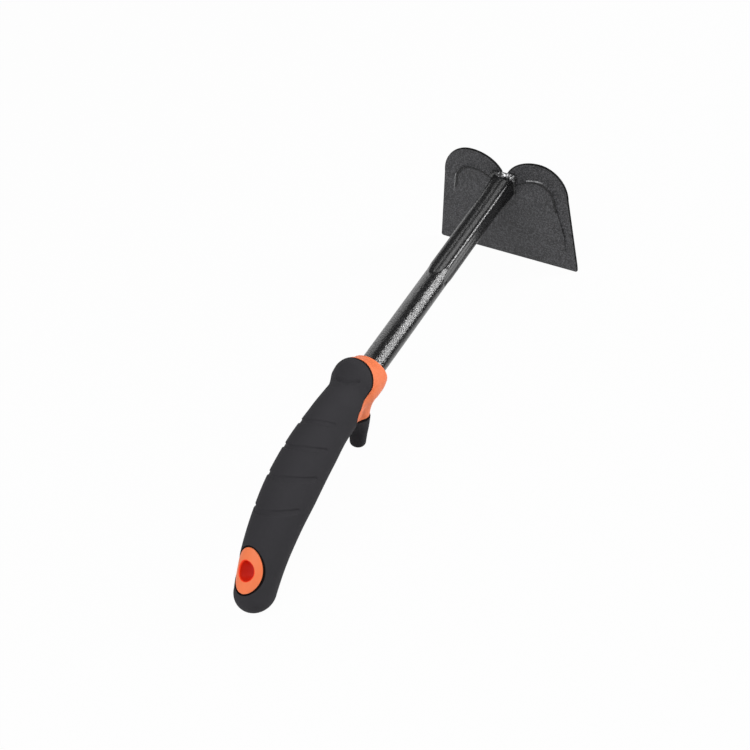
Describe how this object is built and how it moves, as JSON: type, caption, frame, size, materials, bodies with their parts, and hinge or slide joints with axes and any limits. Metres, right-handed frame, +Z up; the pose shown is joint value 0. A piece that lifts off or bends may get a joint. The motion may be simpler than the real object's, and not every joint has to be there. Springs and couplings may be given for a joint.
{
  "type": "hand hoe",
  "caption": "Short garden hoe with a lobed pressed steel blade welded to a fluted steel tube, and a curved soft grip with a finger guard and a hang hole.",
  "frame": {"origin": "centre of the bounding box's bottom face: the tool lies on the blade's cutting edge and the butt of the grip", "axes": "+X from the blade to the butt of the grip, +Z up, Y across the blade"},
  "size_m": [0.405, 0.127, 0.0979],
  "materials": {
    "blade_steel": "textured grey-black powder coat",
    "tube_steel": "glossy black hammered paint",
    "weld_steel": "glossy paint over a rough weld",
    "plug_plastic": "plain moulded",
    "core_plastic": "satin orange polypropylene",
    "cover_rubber": "matte soft-touch"
  },
  "bodies": {
    "root": {"blade": "blade_steel", "shank_tube": "tube_steel", "weld_bead": "weld_steel", "tube_plug": "plug_plastic", "grip_core": "core_plastic", "grip_cover": "cover_rubber"}
  },
  "joints": []
}
